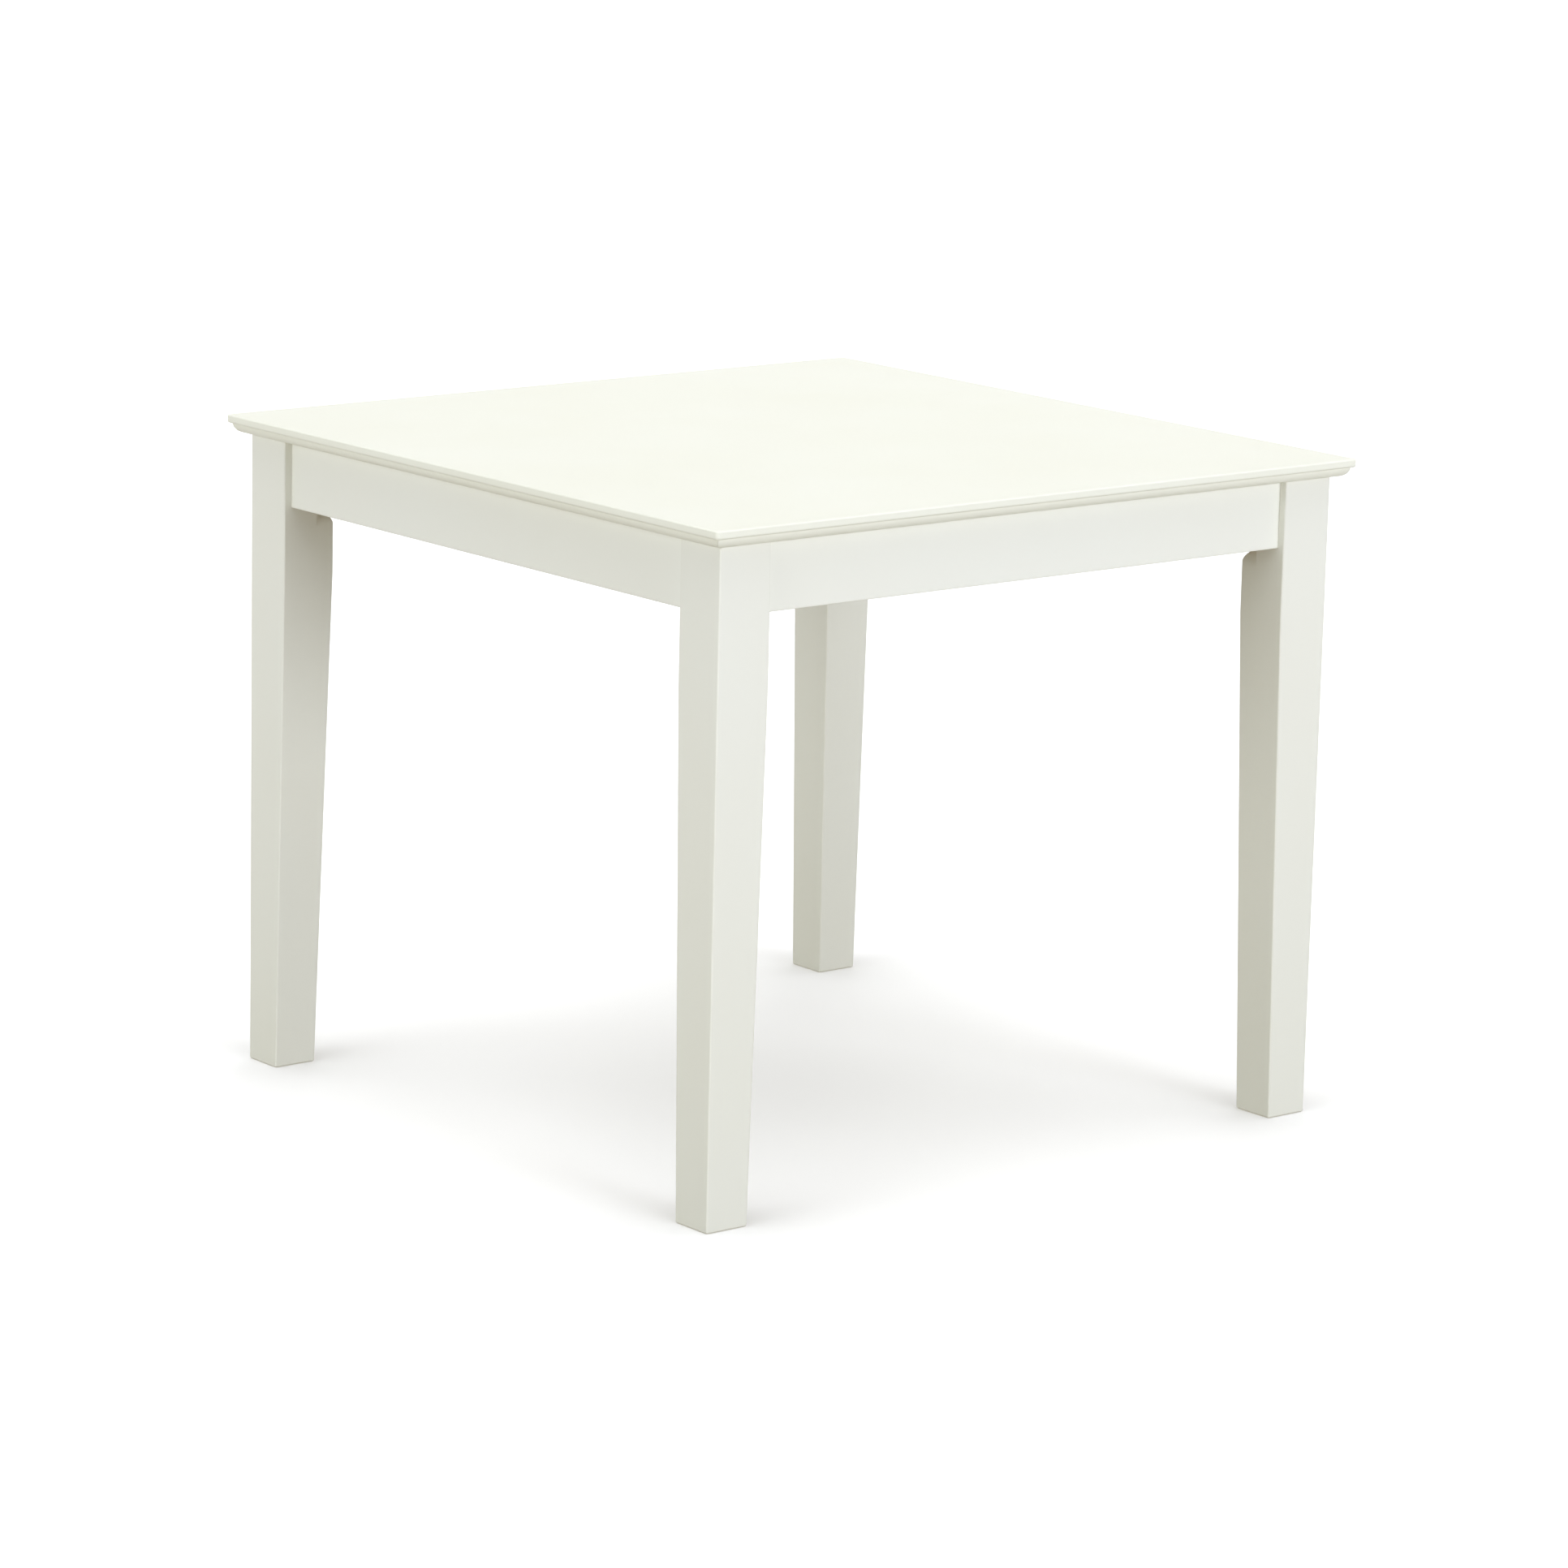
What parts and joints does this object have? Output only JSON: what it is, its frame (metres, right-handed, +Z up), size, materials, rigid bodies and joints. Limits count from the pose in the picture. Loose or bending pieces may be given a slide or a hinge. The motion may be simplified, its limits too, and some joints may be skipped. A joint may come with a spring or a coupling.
{
  "type": "dining table",
  "caption": "Square painted wooden dining table with a moulded-edge top, a recessed apron frame and bolt-on legs tapered on their inner faces.",
  "frame": {"origin": "on the floor, under the middle of the square top", "axes": "+Z up; the front apron faces -Y and the right one +X"},
  "size_m": [0.9144, 0.9144, 0.762],
  "materials": {
    "painted_top": "smooth satin warm-white paint",
    "painted_legs": "satin warm-white paint over solid wood",
    "painted_aprons": "satin warm-white paint over solid wood",
    "block_wood": "sanded unpainted light hardwood",
    "zinc_steel": "bright zinc plating",
    "screw_steel": "dark phosphate coating"
  },
  "bodies": {
    "root": {"tabletop": "painted_top", "leg_front_left": "painted_legs", "leg_front_right": "painted_legs", "leg_back_right": "painted_legs", "leg_back_left": "painted_legs", "apron_front": "painted_aprons", "apron_right": "painted_aprons", "apron_back": "painted_aprons", "apron_left": "painted_aprons", "corner_block_front_left": "block_wood", "corner_block_front_right": "block_wood", "corner_block_back_right": "block_wood", "corner_block_back_left": "block_wood", "hanger_bolts_front_left": "zinc_steel", "hanger_bolts_front_right": "zinc_steel", "hanger_bolts_back_right": "zinc_steel", "hanger_bolts_back_left": "zinc_steel", "flat_washers_front_left": "zinc_steel", "flat_washers_front_right": "zinc_steel", "flat_washers_back_right": "zinc_steel", "flat_washers_back_left": "zinc_steel", "lock_washers_front_left": "zinc_steel", "lock_washers_front_right": "zinc_steel", "lock_washers_back_right": "zinc_steel", "lock_washers_back_left": "zinc_steel", "nuts_front_left": "zinc_steel", "nuts_front_right": "zinc_steel", "nuts_back_right": "zinc_steel", "nuts_back_left": "zinc_steel", "block_screws_front_left": "screw_steel", "block_screws_front_right": "screw_steel", "block_screws_back_right": "screw_steel", "block_screws_back_left": "screw_steel", "top_screws_front_left": "screw_steel", "top_screws_front_right": "screw_steel", "top_screws_back_right": "screw_steel", "top_screws_back_left": "screw_steel", "apron_screw_front": "screw_steel", "apron_screw_right": "screw_steel", "apron_screw_back": "screw_steel", "apron_screw_left": "screw_steel"}
  },
  "joints": []
}
